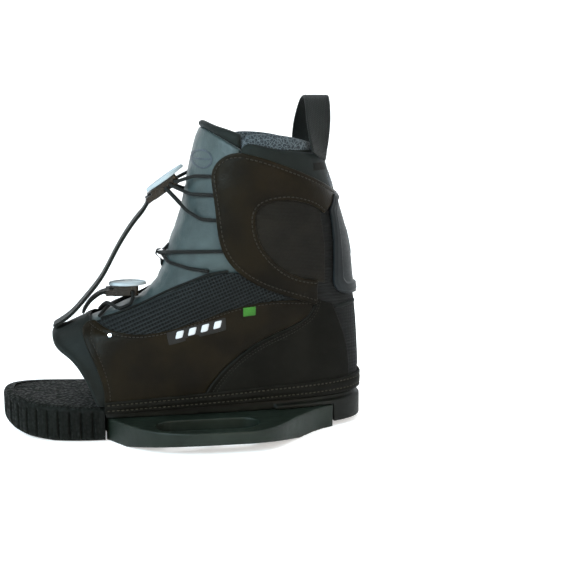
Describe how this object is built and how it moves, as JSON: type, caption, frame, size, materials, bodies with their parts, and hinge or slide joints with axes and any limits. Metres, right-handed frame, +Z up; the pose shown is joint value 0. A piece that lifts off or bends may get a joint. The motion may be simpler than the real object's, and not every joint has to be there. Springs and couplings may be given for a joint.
{
  "type": "wakeboard binding boot",
  "caption": "Open-toe wakeboard binding boot on a winged base plate with slotted bolt holes, laced tongue, sliding lace locks with pull straps and a heel loop.",
  "frame": {"origin": "centre of the four board bolt slots, on the underside plane of the base plate", "axes": "+X from toe to heel, +Y to the medial side, +Z up from the board"},
  "size_m": [0.3117, 0.203, 0.2848],
  "materials": {
    "chassis_plastic": "moulded satin",
    "sole_rubber": "matt",
    "platform_foam": "pebbled matt foam",
    "board_plastic": "matt",
    "footbed_fabric": "brushed",
    "steel": "plain",
    "leather_black": "satin",
    "leather_grey": "soft satin",
    "textile_ribbed": "ribbed weave",
    "textile_grid": "open grid weave",
    "neoprene": "smooth knit",
    "collar_foam": "smooth foam backed",
    "liner_fabric": "crackle print",
    "binding_fabric": "woven tape",
    "shield_plastic": "soft satin",
    "emblem_plastic": "satin",
    "stiffener_plastic": "matt",
    "lock_plastic": "translucent amber brown",
    "slider_plastic": "matt",
    "cap_plastic": "satin",
    "lace_cord": "round braid",
    "webbing": "woven webbing",
    "badge_rubber": "matt",
    "tag_fabric": "woven",
    "rivet_metal": "polished"
  },
  "bodies": {
    "boot": {"ankle_insert_left": "textile_ribbed", "ankle_insert_right": "textile_ribbed", "ankle_panel_left": "leather_black", "ankle_panel_right": "leather_black", "back_shield": "shield_plastic", "back_yoke": "leather_grey", "baseplate": "chassis_plastic", "chassis_nuts": "steel", "chassis_screws": "steel", "collar_band": "collar_foam", "collar_lace": "lace_cord", "footbed": "footbed_fabric", "foxing_strip": "leather_black", "heel_counter_left": "leather_black", "heel_counter_right": "leather_black", "heel_ridge_left": "binding_fabric", "heel_ridge_right": "binding_fabric", "heel_seam_tape": "binding_fabric", "heel_stiffener": "stiffener_plastic", "heel_textile": "textile_ribbed", "lasting_board": "board_plastic", "liner": "liner_fabric", "loop_tabs": "webbing", "lower_lace": "lace_cord", "lower_lock_body": "lock_plastic", "lower_lock_cap": "cap_plastic", "lower_lock_spring": "steel", "mesh_panel_left": "textile_grid", "mesh_panel_right": "textile_grid", "midsole": "sole_rubber", "piping_left": "binding_fabric", "piping_right": "binding_fabric", "rivets": "rivet_metal", "shield_emblem": "emblem_plastic", "side_badge": "badge_rubber", "side_tag": "tag_fabric", "toe_bumper": "platform_foam", "toe_cuff": "neoprene", "tongue": "leather_grey", "tongue_binding": "collar_foam", "tongue_emblem": "leather_grey", "tongue_keeper": "webbing", "upper_lace": "lace_cord", "upper_lock_body": "lock_plastic", "upper_lock_cap": "cap_plastic", "upper_lock_spring": "steel", "vamp_left": "leather_black", "vamp_right": "leather_black"},
    "upper_strap": {"upper_pull_strap": "webbing"},
    "lower_strap": {"lower_pull_strap": "webbing"},
    "loop": {"pull_loop": "webbing"},
    "upper_slider": {"upper_lock_slider": "slider_plastic"},
    "lower_slider": {"lower_lock_slider": "slider_plastic"}
  },
  "joints": [
    {"name": "upper_strap_lift", "type": "hinge", "parent": "boot", "child": "upper_strap", "pos_m": [-0.04093, 0, 0.19725], "axis": [0, 1, 0], "range_deg": [0, 95]},
    {"name": "lower_strap_lift", "type": "hinge", "parent": "boot", "child": "lower_strap", "pos_m": [-0.077, 0, 0.1184], "axis": [0, 1, 0], "range_deg": [0, 5]},
    {"name": "pull_loop_fold", "type": "hinge", "parent": "boot", "child": "loop", "pos_m": [0.098, 0, 0.2334], "axis": [0, 1, 0], "range_deg": [0, 24], "stiffness_Nm_per_rad": 0.03},
    {"name": "upper_lock_press", "type": "slide", "parent": "boot", "child": "upper_slider", "axis": [0.8192, 0, 0.5736], "range_m": [0, 0.003], "stiffness_N_per_m": 400, "deforming": ["upper_lock_spring"]},
    {"name": "lower_lock_press", "type": "slide", "parent": "boot", "child": "lower_slider", "axis": [1, 0, 0], "range_m": [0, 0.003], "stiffness_N_per_m": 400, "deforming": ["lower_lock_spring"]}
  ]
}
